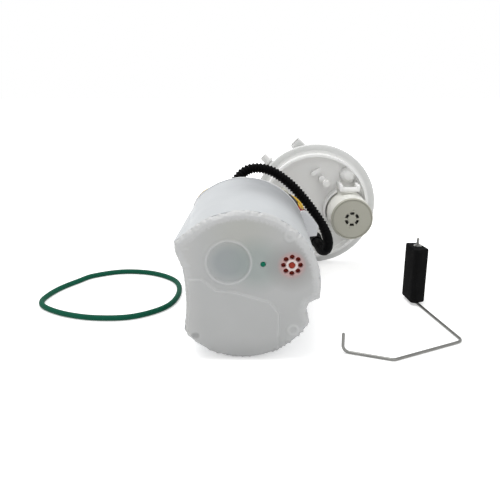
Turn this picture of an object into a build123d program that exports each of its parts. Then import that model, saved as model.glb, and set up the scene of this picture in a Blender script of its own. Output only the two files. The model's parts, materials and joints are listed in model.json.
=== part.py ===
"""In-tank fuel pump module, laid on its side with its seal ring and float arm taken off beside it.

Frame, in millimetres: +X across the module, +Y along its axis from the reservoir's bottom
plate to the flange, +Z up. The origin is under the middle of the whole set, on the floor.
"""
from build123d import *
from math import cos, radians, sin, sqrt, tan
import os

# ------------------------------------------------------------------ reservoir
RES_X, RES_Z = 7.0, 56.5          # axis of the round reservoir
RES_R = 56.0
FACE_Y = -123.0                   # outer face of the bottom plate
RES_END_Y = 0.0                   # end of the shell, where the lid sits
WALL = 2.2                        # moulded wall
PLATE_T = 3.5                     # bottom plate
WELD_CHAMFER = 2.5                # sloped weld edge round the bottom plate
LID_T = 3.0
LID_LIP = 0.5                     # how far the lid stands proud of the shell
SKIRT = 6.0                       # depth of the locating skirts
FIT = 0.15                        # gap of a locating fit
RUN = 0.06                        # radial gap of a running fit
CLEAR = 0.4                       # gap between pieces that only pass each other

FLAT_X = -36.2                    # flat side that carries the level sender
FLAT_LOW_Z, FLAT_HIGH_Z = 18.0, 70.0
SCALLOP = 1.8                     # shallow hollow in the flat side
SHOULDER = (-41.4, 90.5)          # corner where the flat side meets the round wall
SHOULDER_TOP_Z = 97.4
NOTCH_LOW_Z, NOTCH_HIGH_Z = 28.5, 47.2
NOTCH_DEPTH = 6.5
SNAPS = (5, -60, -120)            # windows of the shell that the lid snaps into, in degrees
SNAP_W, SNAP_T = 9.0, 2.6

# ------------------------------------------------------------- bottom plate face
INLET_X, INLET_Z = -3.1, 75.5     # round recess below the pump
INLET_RING_R, RING_W, RING_H = 16.8, 1.6, 0.9
INLET_DEPTH = 0.6
CHANNEL = (9.9, 31.9, 61.8, 90.0) # jet channel on the inside: x from, x to, z from, z to
CHANNEL_DEPTH = 1.2
VALVE_X, VALVE_Z = 41.6, 73.4     # filling valve
VALVE_HOLES, VALVE_HOLE_R, VALVE_PITCH_R = 8, 1.75, 6.0
STEM_R = 2.2
VALVE_DISC_R = 9.5
NOZZLE_X, NOZZLE_Z, NOZZLE_R = 21.2, 74.1, 1.75
NOZZLE_BOSS_R = 4.5
PANEL_EDGE = [(-30.6, 63.3), (-22.8, 63.3), (-12.3, 54.9), (1.3, 53.4), (26.4, 45.7), (33.0, 37.0)]
PANEL_H = 1.2                     # raised panel over the strainer
BOSS_R, BOSS_H = 4.3, 0.8
BOSSES = [(39.8, 95.0), (43.4, 23.7)]
POCKET = (-27.9, 19.7, 5.6, 3.7)  # moulding pocket: x, z, width, height

# ------------------------------------------------------------------------ pump
PUMP_X, PUMP_Z = -9.0, 72.0
PUMP_R, PUMP_WALL = 19.0, 1.2
PUMP_Y0, PUMP_Y1 = -98.0, -34.0   # steel case
CAP_T = 7.0                       # end caps
NIPPLE_R = 5.0
SHAFT_R = 1.6
MAGNET_T = 3.6
ARMATURE_GAP, ARMATURE_L = 2.2, 30.0
ARMATURE_R = PUMP_R - PUMP_WALL - MAGNET_T - ARMATURE_GAP
COMMUTATOR_R, COMMUTATOR_L = 6.5, 7.0
BRUSH_L, BRUSH_W, BRUSH_H = 5.5, 4.0, 3.0  # radial, along the pump, across it
IMPELLER_GAP, IMPELLER_T = 2.3, 3.0
IMPELLER_R = PUMP_R - PUMP_WALL - IMPELLER_GAP
VANES = 24

# ----------------------------------------------------------- flange and its guides
FL_X, FL_Z, FL_R = 81.0, 64.2, 64.2
FL_Y, FL_T = 104.0, 4.5           # underside and thickness of the rim
COLLAR_R, COLLAR_W, COLLAR_H = 55.3, 2.6, 10.0
SEAT_R, SEAT_H = 58.2, 1.2        # step that the seal ring goes round
HUB_R, HUB_T = 50.0, 2.5          # raised disc on the outer side
RODS = [(40.0, 70.0), (42.0, 40.0)]
ROD_R = 3.0
GUIDE_R = 5.2                     # guide tubes of the lid
GUIDE_LOW_Y, GUIDE_TOP_Y = -50.0, 9.0
ROD_BOSS_R, ROD_BOSS_L = 7.0, 12.0
TRAVEL = 30.0                     # how far the flange can be pushed towards the reservoir
CLIP_R, CLIP_T = 4.9, 1.2
SPRING_R, SPRING_WIRE = 5.2, 1.1  # mean radius and wire of the guide springs

# --------------------------------------------------------------------- vent valve
CAN_X, CAN_Z, CAN_R = 114.0, 60.0, 21.2
CAN_Y0 = 58.0                     # outer face of its cap
NECK_R, NECK_HOLE_R = 5.0, 7.2
CAN_WALL = 1.6
CAP_RIM_L = 7.0
SLOTS, SLOT_OUT_R, SLOT_IN_R = 6, 7.2, 4.4
FLOAT_GAP, FLOAT_WALL = 4.1, 3.0
FLOAT_R = CAN_R - CAN_WALL - FLOAT_GAP
SEAT_TUBE_R = 4.0
LATCHES = (175, 295, 55)          # windows of the can that the cap snaps into, in degrees
CRADLE_T, CRADLE_GAP, CRADLE_L, BRACKET_L = 1.8, 1.5, 12.0, 26.0
DOME = (114.5, 97.0)              # domed boss and round stubs moulded under the flange
STUBS = [(87.4, 93.0, 3.3, 8.0), (91.2, 89.4, 3.6, 13.0)]  # x, z, radius, length

# -------------------------------------------------------------------- fuel hose
HOSE_D = 10.0
CUFF_R, CUFF_L = 5.9, 18.0
BARB_R = 3.4
ELBOW_X, ELBOW_Z, ELBOW_Y = -24.0, 74.0, 15.0
ELBOW_DIR = Vector(0.55, 0.35, 0.76).normalized()
OUTLET_X, OUTLET_Z = 80.5, 34.5   # hose barb under the flange
CUFF_Y = 63.0                     # where the hose meets the flange's cuff
HOSE_START = Vector(ELBOW_X, ELBOW_Y, ELBOW_Z) + ELBOW_DIR * 23.0
HOSE_ROUTE = [
    tuple(HOSE_START), tuple(HOSE_START + ELBOW_DIR * 17.0), (10.0, 39.5, 115.0), (29.5, 44.0, 113.6),
    (48.3, 46.0, 100.8), (62.3, 47.0, 86.0), (74.6, 46.5, 70.2), (84.2, 44.0, 56.0),
    (88.5, 39.0, 44.5), (88.0, 36.5, 35.4), (83.4, 43.0, 31.0), (OUTLET_X, 53.0, OUTLET_Z),
    (OUTLET_X, CUFF_Y, OUTLET_Z),
]

# ------------------------------------------------------------------- level sender
SENDER_Y, SENDER_Z = -28.0, 44.0  # swing axis, along X
SENDER_BASE_T = 4.0
ROTOR_T = 3.6
HUB_PIN_R = 3.6
ARM_WIRE_R = 1.2
ARM_BORE_R = 1.25

# ------------------------------------------------------------------------- wires
WIRE_D = 2.0
PLUG_X, PLUG_Z = 58.4, 70.0       # harness plug under the flange
PLUG_W, PLUG_H, PLUG_L = 13.0, 9.0, 15.0
PLUG_Y0 = 80.0

# ------------------------------------------------- pieces lying beside the module
RING_D = 4.9                      # seal ring, slightly egg-shaped as it lies
RING_OUTLINE = [
    (-55.0, 4.0), (-62.3, 36.6), (-87.2, 58.6), (-118.8, 63.9), (-146.4, 51.8), (-157.8, 36.8), (-169.6, 17.5),
    (-175.9, -1.0), (-177.0, -17.3), (-169.1, -31.0), (-147.3, -45.4), (-118.8, -53.4), (-87.5, -50.2), (-62.3, -28.6),
]
ARM_PIVOT = (82.2, -112.6)        # float arm wire: stub, bends and float, seen from above
ARM_BENDS = [(118.0, -126.4), (179.1, -95.0)]
FLOAT_X, FLOAT_Y = 162.0, -9.8    # upright that carries the float
STUB_H = 16.3
ARM_TOP_Z = 60.5
BEND_R = 5.0
BLOCK_OUTLINE = [(153.8, 0.8), (165.3, 1.4), (169.8, -19.0), (157.0, -25.3)]
BLOCK_Z0, BLOCK_H = 2.8, 50.2
BLOCK_HOLLOW_R = 4.2              # hollow under the block for the wire's bend


# ------------------------------------------------------------------ form helpers
def across(y):
    """Sketch plane across the module: sketch x is +X, sketch y is +Z, facing -Y."""
    return Plane(origin=(0, y, 0), x_dir=(1, 0, 0), z_dir=(0, -1, 0))


def slab(sketch, y_low, y_high):
    """Sketch in X and Z, extruded along the module from y_low to y_high."""
    return extrude(across(y_high) * sketch, amount=y_high - y_low)


def rod(x, z, r, y_low, y_high):
    return slab(Pos(x, z) * Circle(r), y_low, y_high)


def tube(x, z, r_out, r_in, y_low, y_high):
    return slab(Pos(x, z) * (Circle(r_out) - Circle(r_in)), y_low, y_high)


def turned(x, z, profile):
    """Solid of revolution along Y about (x, z); profile points are (radius, y)."""
    face = Pos(x, 0, z) * make_face(Polyline(*profile, close=True))
    return revolve(face, Axis((x, 0, z), (0, 1, 0)))


def rounded_box(x, z, w, h, y_low, y_high, r):
    return slab(Pos(x, z) * RectangleRounded(w, h, r), y_low, y_high)


def on_rim(x, z, angle, r, y):
    """Place at radius r from the axis through (x, z), its own x pointing outwards."""
    return Pos(x, y, z) * Rot(0, -angle, 0) * Pos(r, 0, 0)


def sector(x, z, r_out, r_in, start, end):
    """Sketch of a ring stretch between two angles in degrees."""
    def at(r, a):
        return (x + r * cos(radians(a)), z + r * sin(radians(a)))
    mid = (start + end) / 2
    outer = ThreePointArc(at(r_out, start), at(r_out, mid), at(r_out, end))
    inner = ThreePointArc(at(r_in, end), at(r_in, mid), at(r_in, start))
    return make_face([outer, Line(at(r_out, end), at(r_in, end)),
                      inner, Line(at(r_in, start), at(r_out, start))])


def bend_radii(points):
    """Largest tangent arc for each corner of a cord's route."""
    radii = []
    for a, b, c in zip(points, points[1:], points[2:]):
        run_in, run_out = Vector(b) - Vector(a), Vector(c) - Vector(b)
        turn = radians(run_in.get_angle(run_out))
        radii.append(0.45 * min(run_in.length, run_out.length) / tan(turn / 2))
    return radii


def cord(name, points, diameter):
    """Round cord along straight runs joined by tangent arcs."""
    radii = bend_radii(points)
    path = FilletPolyline(*points, radius=radii)
    section = Plane(origin=path @ 0, z_dir=path % 0) * Circle(diameter / 2)
    print(name, "length", round(path.length, 1), "tightest bend", round(min(radii), 1))
    return sweep(section, path=path)


def along(start, direction, r, length):
    """Round bar from a point in a direction."""
    return extrude(Plane(origin=tuple(start), z_dir=tuple(direction)) * Circle(r), amount=length)


# -------------------------------------------------------------------- reservoir
def on_circle(z, side):
    return (RES_X + side * sqrt(RES_R**2 - (z - RES_Z) ** 2), z)


def reservoir_outline(shoulder):
    """Round outline with the sender's flat side and the notch opposite, with or without the shoulder."""
    low_left = on_circle(FLAT_LOW_Z, -1)
    low_right, high_right = on_circle(NOTCH_LOW_Z, 1), on_circle(NOTCH_HIGH_Z, 1)
    notch_x = high_right[0] - NOTCH_DEPTH - 2.5
    flat_low, flat_high = (FLAT_X, FLAT_LOW_Z + 5), (FLAT_X, FLAT_HIGH_Z)
    flat_mid = (FLAT_X + SCALLOP, (FLAT_LOW_Z + FLAT_HIGH_Z) / 2 - 4)
    if shoulder:
        high_left = on_circle(SHOULDER_TOP_Z, -1)
        down = [SHOULDER, (SHOULDER[0] + 0.4, SHOULDER[1] - 8), flat_high]
    else:
        high_left = (FLAT_X, RES_Z + sqrt(RES_R**2 - (FLAT_X - RES_X) ** 2))
        down = [flat_high]
    return make_face([
        ThreePointArc(low_left, (RES_X, RES_Z - RES_R), low_right),
        Polyline(low_right, (notch_x, NOTCH_HIGH_Z - 8), (notch_x + 1.2, NOTCH_HIGH_Z - 3.5), high_right),
        ThreePointArc(high_right, (RES_X, RES_Z + RES_R), high_left),
        Polyline(high_left, *down),
        ThreePointArc(flat_high, flat_mid, flat_low),
        Line(flat_low, low_left),
    ])


def outline(inset=0.0, shoulder=False):
    face = reservoir_outline(shoulder)
    return face if inset == 0 else offset(face, amount=-inset, kind=Kind.INTERSECTION)


def shoulder_rib():
    """Corner beside the flat side, which runs out towards the lid."""
    x, z = SHOULDER
    inner = [(FLAT_X + 0.6, FLAT_HIGH_Z - 1), (FLAT_X + 1.4, z - 1)]
    wide = [(x + 0.4, z - 8), (x, z), (on_circle(SHOULDER_TOP_Z, -1)[0], SHOULDER_TOP_Z - 0.3)]
    slim = [(FLAT_X - 0.1, z - 8), (FLAT_X - 0.2, z), (FLAT_X + 2, z + 3)]
    low, high = (across(y) * make_face(Polyline(inner[0], *tips, inner[1], close=True))
                 for y, tips in ((FACE_Y + PLATE_T, wide), (RES_END_Y, slim)))
    return loft([low, high], ruled=True)


def reservoir_shell():
    y0 = FACE_Y + PLATE_T
    shell = slab(outline() - outline(WALL), y0, RES_END_Y) + shoulder_rib()
    for angle in SNAPS:
        shell -= on_rim(RES_X, RES_Z, angle, RES_R - WALL / 2, -3.5) * Box(WALL + 2, SNAP_T + 0.2, SNAP_W + 0.4)
    return shell


def bottom_plate():
    """Welded bottom plate: weld slope, raised panel, pump recess, valve seat and bosses."""
    back = FACE_Y + PLATE_T
    plate = slab(outline(0.3, shoulder=True), FACE_Y, back)
    plate = chamfer(plate.faces().sort_by(Axis.Y)[0].edges(), WELD_CHAMFER)
    plate += slab(outline(WALL + FIT) - outline(2 * WALL + FIT), back, back + SKIRT)
    x0, x1, z0, z1 = CHANNEL
    plate -= rounded_box((x0 + x1) / 2, (z0 + z1) / 2, x1 - x0, z1 - z0, back - CHANNEL_DEPTH, back, 2)
    plate += rod(NOZZLE_X, NOZZLE_Z, NOZZLE_BOSS_R, FACE_Y, back)
    panel = make_face(Polyline(*PANEL_EDGE, (33.0, -5.0), (-45.0, -5.0), (-45.0, 63.3), close=True))
    plate += slab(panel & outline(0.3 + WELD_CHAMFER, shoulder=True), FACE_Y - PANEL_H, FACE_Y)
    plate += rod(INLET_X, INLET_Z, INLET_RING_R, FACE_Y - RING_H, back)
    plate -= rod(INLET_X, INLET_Z, INLET_RING_R - RING_W, FACE_Y - RING_H, FACE_Y + INLET_DEPTH)
    for x, z in BOSSES:
        plate += rod(x, z, BOSS_R, FACE_Y - BOSS_H, back)
    plate -= rod(*BOSSES[1], BOSS_R - 1.4, FACE_Y - BOSS_H, FACE_Y - 0.2)
    x, z, w, h = POCKET
    plate -= slab(Pos(x, z) * Rectangle(w, h), FACE_Y - PANEL_H, FACE_Y - 0.4)
    plate -= rod(VALVE_X, VALVE_Z, STEM_R + RUN, FACE_Y, back)
    for i in range(VALVE_HOLES):
        a = radians(360 * i / VALVE_HOLES)
        plate -= rod(VALVE_X + VALVE_PITCH_R * cos(a), VALVE_Z + VALVE_PITCH_R * sin(a),
                     VALVE_HOLE_R, FACE_Y, back)
    return plate - rod(NOZZLE_X, NOZZLE_Z, NOZZLE_R + FIT, FACE_Y, back)


def umbrella_valve():
    """Rubber valve on the inside of the bottom plate, its stem through the middle hole."""
    back = FACE_Y + PLATE_T
    return turned(VALVE_X, VALVE_Z, [
        (0, FACE_Y - 0.6), (STEM_R - 0.7, FACE_Y - 0.6), (STEM_R, FACE_Y + 0.3), (STEM_R, back + 0.05),
        (VALVE_DISC_R, back + 0.05), (VALVE_DISC_R, back + 0.8), (3.0, back + 2.4), (0, back + 2.4),
    ])


def jet_nozzle():
    """Jet pump nozzle, pressed into the bottom plate from inside."""
    back = FACE_Y + PLATE_T
    return turned(NOZZLE_X, NOZZLE_Z, [
        (0, FACE_Y + 0.4), (NOZZLE_R, FACE_Y + 0.4), (NOZZLE_R, back + 0.05), (3.2, back + 0.05),
        (3.2, back + 3.0), (1.4, back + 9.0), (0.5, back + 9.0), (0.5, back + 3.0), (0, back + 3.0),
    ])


def jet_tube():
    """Mixing tube of the jet pump."""
    y0 = FACE_Y + PLATE_T + 0.1
    body = tube(NOZZLE_X, NOZZLE_Z, 5.4, 3.6, y0, y0 + 55)
    return body - slab(Pos(NOZZLE_X, NOZZLE_Z) * Rectangle(20, 3), y0 + 4, y0 + 8)


def guide_tube(x, z):
    return tube(x, z, GUIDE_R, ROD_R + RUN, GUIDE_LOW_Y, GUIDE_TOP_Y)


def reservoir_lid():
    top = RES_END_Y + LID_T
    lid = slab(offset(outline(), amount=LID_LIP, kind=Kind.INTERSECTION), RES_END_Y, top)
    lid += slab(outline(WALL + FIT) - outline(2 * WALL + FIT), RES_END_Y - SKIRT, RES_END_Y)
    for angle in SNAPS:
        lid += on_rim(RES_X, RES_Z, angle, RES_R - WALL - FIT + 0.2, -3.5) * Box(1.6, SNAP_T, SNAP_W)
    # flow channel from the pump's outlet to the elbow
    mid_x = (PUMP_X + ELBOW_X) / 2
    lid += rounded_box(mid_x, PUMP_Z + 1, abs(PUMP_X - ELBOW_X) + 17, 15, top, top + 5, 6)
    lid += tube(PUMP_X, PUMP_Z, NIPPLE_R + 2.5, NIPPLE_R + FIT, RES_END_Y - 9, RES_END_Y)
    lid += rounded_box(20.0, 101.0, 24, 9, top, top + 6, 2.5)
    for x, z in RODS:
        lid -= rod(x, z, GUIDE_R - 0.5, RES_END_Y - SKIRT, top)
        lid += guide_tube(x, z)
    # side arm that the harness and hose pass
    arm = make_face(Polyline((46, 78), (62, 80.5), (69.5, 73.5), (75, 66), (73.5, 57), (66, 56), (52, 54), close=True))
    lid += slab(arm, top + 6, top + 9)
    lid += slab(Pos(52, 66) * RectangleRounded(5, 22, 2), top, top + 7)
    return lid


# -------------------------------------------------------------------------- pump
def pump_case():
    return tube(PUMP_X, PUMP_Z, PUMP_R, PUMP_R - PUMP_WALL, PUMP_Y0, PUMP_Y1)


def pump_inlet_cap():
    r = PUMP_R - PUMP_WALL - 0.02
    low = PUMP_Y0 - CAP_T + 2
    return turned(PUMP_X, PUMP_Z, [
        (2.6, low - 7), (NIPPLE_R, low - 7), (NIPPLE_R, low), (PUMP_R - 2, low), (PUMP_R, low + 1.5),
        (PUMP_R, PUMP_Y0), (r, PUMP_Y0), (r, PUMP_Y0 + 3.2), (SHAFT_R + RUN, PUMP_Y0 + 3.2),
        (SHAFT_R + RUN, PUMP_Y0 - 2), (2.6, PUMP_Y0 - 2),
    ])


def pump_outlet_cap():
    r = PUMP_R - PUMP_WALL - 0.02
    cap = turned(PUMP_X, PUMP_Z, [
        (SHAFT_R + RUN, PUMP_Y1 - 4), (r, PUMP_Y1 - 4), (r, PUMP_Y1), (PUMP_R, PUMP_Y1),
        (PUMP_R - 1, PUMP_Y1 + CAP_T), (NIPPLE_R, PUMP_Y1 + CAP_T), (NIPPLE_R, RES_END_Y - 0.3),
        (2.5, RES_END_Y - 0.3), (2.5, PUMP_Y1 + 4), (SHAFT_R + RUN, PUMP_Y1 + 4),
    ])
    y0 = brush_y() - BRUSH_W / 2 - 1
    for side in (-1, 1):
        cap += Pos(PUMP_X + side * 11, PUMP_Y1 + CAP_T + 4, PUMP_Z) * Box(6.3, 8, 0.8)
        holder = Pos(PUMP_X + side * (COMMUTATOR_R + 4), (y0 + PUMP_Y1 - 4) / 2, PUMP_Z)
        cap += holder * Box(BRUSH_L, PUMP_Y1 - 4 - y0, BRUSH_H + 3)
        cap -= brush_place(side) * Box(2 * BRUSH_L, BRUSH_W + 0.2, BRUSH_H + 0.2)
    return cap


def brush_y():
    return PUMP_Y0 + 14 + ARMATURE_L + COMMUTATOR_L / 2


def brush_place(side):
    return Pos(PUMP_X + side * (COMMUTATOR_R + RUN + BRUSH_L / 2), brush_y(), PUMP_Z)


def pump_brushes():
    """Carbon brushes on the commutator, in the outlet cap's holders."""
    return Compound([brush_place(side) * Box(BRUSH_L, BRUSH_W, BRUSH_H) for side in (-1, 1)])


def pump_magnets():
    r = PUMP_R - PUMP_WALL - 0.02
    y0 = PUMP_Y0 + 14
    y1 = y0 + ARMATURE_L
    upper = sector(PUMP_X, PUMP_Z, r, r - MAGNET_T, 25, 155)
    lower = sector(PUMP_X, PUMP_Z, r, r - MAGNET_T, 205, 335)
    return Compound([slab(upper, y0, y1), slab(lower, y0, y1)])


def pump_armature():
    """Shaft, wound core with its slots, and commutator, which turn as one."""
    y0 = PUMP_Y0 + 14
    core = Pos(PUMP_X, PUMP_Z) * Circle(ARMATURE_R)
    for i in range(8):
        slot = Pos(PUMP_X, PUMP_Z) * Rot(0, 0, 45 * i) * Pos(ARMATURE_R, 0) * Rectangle(5, 1.8)
        core -= slot
    body = slab(core, y0, y0 + ARMATURE_L)
    body += rod(PUMP_X, PUMP_Z, COMMUTATOR_R, y0 + ARMATURE_L, y0 + ARMATURE_L + COMMUTATOR_L)
    return body + rod(PUMP_X, PUMP_Z, SHAFT_R, PUMP_Y0 - 1.5, PUMP_Y1 + 3.5)


def pump_impeller():
    y0 = PUMP_Y0 + 3.4
    disc = Pos(PUMP_X, PUMP_Z) * (Circle(IMPELLER_R) - Circle(SHAFT_R))
    for i in range(VANES):
        pocket = Rot(0, 0, 360 * i / VANES) * Pos(IMPELLER_R - 1.6, 0) * Rectangle(2.2, 2.0)
        disc -= Pos(PUMP_X, PUMP_Z) * pocket
    return slab(disc, y0, y0 + IMPELLER_T)


def pump_isolator():
    """Rubber sleeve that holds the pump's inlet end, with ribs."""
    y0, y1 = PUMP_Y0 - 3, PUMP_Y0 + 16
    sleeve = tube(PUMP_X, PUMP_Z, PUMP_R + 2.2, PUMP_R + 0.02, y0 + 3, y1)
    for i in range(6):
        a = radians(60 * i)
        sleeve += rod(PUMP_X + (PUMP_R + 2.4) * cos(a), PUMP_Z + (PUMP_R + 2.4) * sin(a), 1.4, y0 + 3, y1)
    return sleeve - rod(PUMP_X, PUMP_Z, PUMP_R + 0.02, y0, y1)


def inlet_strainer():
    """Fine pad on the pump's inlet, with its socket."""
    low = FACE_Y + PLATE_T + 1.5
    pad = rounded_box(-9.0, 58.0, 40, 64, low, low + 4.5, 8)
    pad += tube(PUMP_X, PUMP_Z, NIPPLE_R + 2.0, NIPPLE_R + 0.02, low + 4.5, PUMP_Y0 - CAP_T + 1.5)
    return pad


# --------------------------------------------------------- pressure regulator
REG_X, REG_Z, REG_R = 41.5, 95.5, 5.6


def regulator_housing():
    y0 = RES_END_Y + LID_T
    return turned(REG_X, REG_Z, [
        (1.6, y0), (REG_R, y0), (REG_R, y0 + 9), (REG_R - 1, y0 + 10), (REG_R - 1, y0 + 17),
        (1.5, y0 + 17), (1.5, y0 + 15.6), (REG_R - 2, y0 + 15.6), (REG_R - 2, y0 + 2), (1.6, y0 + 2),
    ])


def regulator_valve():
    y0 = RES_END_Y + LID_T + 2.05
    return turned(REG_X, REG_Z, [
        (0, y0), (REG_R - 2.4, y0), (REG_R - 2.4, y0 + 1.6), (1.2, y0 + 1.6), (1.2, y0 + 4), (0, y0 + 4),
    ])


def regulator_spring():
    y0 = RES_END_Y + LID_T + 3.7
    return coil(REG_X, REG_Z, 2.4, 0.6, y0, y0 + 11.6, 5)


def coil(x, z, r, wire, y_low, y_high, turns):
    """Open coil spring along Y, within y_low and y_high."""
    height = y_high - y_low - wire
    helix = Helix(pitch=height / turns, height=height, radius=r)
    section = Plane(origin=helix @ 0, z_dir=helix % 0) * RegularPolygon(wire / 2, 6)
    body = sweep(section, path=helix, is_frenet=True)
    return Pos(x, y_low + wire / 2, z) * Rot(-90, 0, 0) * body


# ----------------------------------------------------------------- flange body
def outward(along_d, across_d):
    """Point on the flange's outer side, by distance along its fittings' direction and across it."""
    s = sqrt(0.5)
    return (FL_X - s * along_d + s * across_d, FL_Z + s * along_d + s * across_d)


FITTING_DIR = Vector(-sqrt(0.5), 0, sqrt(0.5))
FITTING_Y = 119.0
SOCKET_END, SOCKET_SIDE, SOCKET_W, SOCKET_D = 60.9, 30.6, 12.0, 16.0
SOCKET_DEPTH, PIN_L = 13.0, 7.0
SPIGOT_END, SPIGOT_SIDE = 74.0, -4.0
SPIGOT_FREE = 7.0                 # plain length beyond the bead
SPIGOT_R = 3.95
VAPOUR_END_Z = 18.0


def flange():
    """Round flange with its collar, seal step and outer hub, and what is moulded onto them."""
    plate = flange_disc()
    plate -= rod(CAN_X, CAN_Z, CAN_R + FIT, FL_Y - COLLAR_H, FL_Y)
    plate -= rod(CAN_X, CAN_Z, NECK_HOLE_R, FL_Y, FL_Y + FL_T + HUB_T)
    for x, z in RODS:
        plate += rod(x, z, ROD_BOSS_R, FL_Y - ROD_BOSS_L, FL_Y)
        plate -= rod(x, z, ROD_R, FL_Y - ROD_BOSS_L, FL_Y - 1)
    plate += rod(OUTLET_X, OUTLET_Z, CUFF_R + 1.2, CUFF_Y + CUFF_L + 1, FL_Y) + hose_barb()
    dome = [(0, -9), (4.5, -8.4), (7.5, -5.5), (8.2, -2), (8.2, 0), (0, 0)]
    plate += turned(*DOME, [(r, FL_Y + y) for r, y in dome])
    for x, z, r, length in STUBS:
        plate += rod(x, z, r, FL_Y - length, FL_Y)
    plate += slab(Pos(81.2, 100.4) * Rot(0, 0, 30.6) * SlotOverall(11.5, 4.2), FL_Y - 6, FL_Y)
    plate += rounded_box(PLUG_X, PLUG_Z, PLUG_W + 3, PLUG_H + 3, PLUG_Y0 + PLUG_L + 0.1, FL_Y, 2)
    plate += valve_cradle()
    return plate + connector_shell()


def flange_disc():
    top = FL_Y + FL_T
    inner = COLLAR_R - COLLAR_W
    return turned(FL_X, FL_Z, [
        (0, FL_Y), (inner, FL_Y), (inner, FL_Y - COLLAR_H), (COLLAR_R, FL_Y - COLLAR_H),
        (COLLAR_R, FL_Y - SEAT_H), (SEAT_R, FL_Y - SEAT_H), (SEAT_R, FL_Y), (FL_R - 0.6, FL_Y),
        (FL_R, FL_Y + 0.6), (FL_R, top - 1), (FL_R - 1, top), (HUB_R, top),
        (HUB_R - HUB_T, top + HUB_T), (0, top + HUB_T),
    ])


def hose_barb():
    """Hollow barb under the flange that the hose's cuff is pushed onto."""
    y = CUFF_Y + 3
    profile = [(1.8, y), (BARB_R - 1, y), (BARB_R, y + 3), (BARB_R - 0.6, y + 3.2), (BARB_R, y + 7),
               (BARB_R - 0.6, y + 7.2), (BARB_R - 0.6, FL_Y), (1.8, FL_Y)]
    return turned(OUTLET_X, OUTLET_Z, profile)


def valve_cradle():
    """Curved wall and snap bracket that hold the vent valve."""
    gap_r = CAN_R + CRADLE_GAP
    low = FL_Y - BRACKET_L
    wall = slab(sector(CAN_X, CAN_Z, gap_r + CRADLE_T, gap_r, 118, 205), FL_Y - CRADLE_L, FL_Y)
    bar_z = CAN_Z + CAN_R + 4.5
    bracket = slab(Pos(CAN_X, bar_z) * Rectangle(20, 3.4), low, low + 6)
    for side in (-1, 1):
        bracket += slab(Pos(CAN_X + side * 8.6, bar_z + 1.2) * Rectangle(2.8, 6), low, FL_Y)
    return wall + bracket


def connector_shell():
    """Electrical socket on the outer side, open towards the upper left."""
    x, z = outward(SOCKET_END, SOCKET_SIDE)
    mouth = Plane(origin=(x, FITTING_Y, z), x_dir=(0, 1, 0), z_dir=tuple(FITTING_DIR))
    shell = extrude(mouth * RectangleRounded(SOCKET_D, SOCKET_W, 1.6), amount=-34)
    return shell - extrude(mouth * RectangleRounded(SOCKET_D - 3, SOCKET_W - 3, 1), amount=-SOCKET_DEPTH)


def connector_terminals():
    pins = []
    for dy in (-4.2, -1.4, 1.4, 4.2):
        x, z = outward(SOCKET_END - SOCKET_DEPTH, SOCKET_SIDE)
        blade = Plane(origin=(x, FITTING_Y + dy, z), x_dir=(0, 1, 0), z_dir=tuple(FITTING_DIR))
        pins.append(extrude(blade * Rectangle(0.8, 2.4), amount=PIN_L))
    return Compound(pins)


def spigot(points_r, start, direction):
    """Stepped round fitting: (distance, radius) pairs from start along a direction."""
    body = None
    for (d0, r), (d1, _) in zip(points_r, points_r[1:]):
        piece = along(Vector(*start) + Vector(direction) * d0, direction, r, d1 - d0)
        body = piece if body is None else body + piece
    return body


def outlet_spigot():
    """Fuel outlet: quick-connect tube with its bead, and the hub that is welded to the flange."""
    x, z = outward(0, SPIGOT_SIDE)
    start = (x, FITTING_Y, z)
    bead = SPIGOT_END - SPIGOT_FREE
    steps = [(8, 6.0), (46, SPIGOT_R), (bead - 2, 5.6), (bead, SPIGOT_R), (SPIGOT_END, 0)]
    body = spigot(steps, start, FITTING_DIR)
    hub = outward(14, SPIGOT_SIDE)
    body += rod(*hub, 8.5, FL_Y + FL_T + HUB_T + 0.02, FITTING_Y)
    return body - along(Vector(*start) + FITTING_DIR * 20, FITTING_DIR, 2.4, 60)


def vapour_spigot():
    """Vapour outlet above the vent valve, turned down along the flange."""
    base = FL_Y + FL_T + HUB_T + 0.02
    body = rod(CAN_X, CAN_Z, 9.0, base, base + 3) + rod(CAN_X, CAN_Z, 6.0, base, FITTING_Y + 5)
    bead = CAN_Z - VAPOUR_END_Z - 8
    steps = [(0, 5.2), (18, SPIGOT_R), (bead - 2, 5.2), (bead, SPIGOT_R), (bead + 8, 0)]
    body += spigot(steps, (CAN_X, FITTING_Y, CAN_Z), Vector(0, 0, -1))
    return body - along((CAN_X, FITTING_Y, CAN_Z - 12), (0, 0, -1), 2.4, 60)


def guide_rod(x, z):
    tip = GUIDE_LOW_Y - CLIP_T - 1.6
    bar = rod(x, z, ROD_R, tip, FL_Y - 1)
    groove = tube(x, z, ROD_R + 1, ROD_R - 0.5, GUIDE_LOW_Y - CLIP_T - 0.3, GUIDE_LOW_Y - 0.3)
    return chamfer(bar.edges().filter_by(GeomType.CIRCLE).sort_by(Axis.Y)[0], 0.6) - groove


def rod_clips():
    rings = []
    for x, z in RODS:
        ring = Circle(CLIP_R) - Circle(ROD_R - 0.5) - Pos(0, -3) * Rectangle(2.4, 8)
        rings.append(slab(Pos(x, z) * ring, GUIDE_LOW_Y - CLIP_T - 0.3, GUIDE_LOW_Y - 0.3))
    return Compound(rings)


def guide_spring(x, z):
    return coil(x, z, SPRING_R, SPRING_WIRE, GUIDE_TOP_Y + 0.05, FL_Y - ROD_BOSS_L - 0.05, 7)


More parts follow.
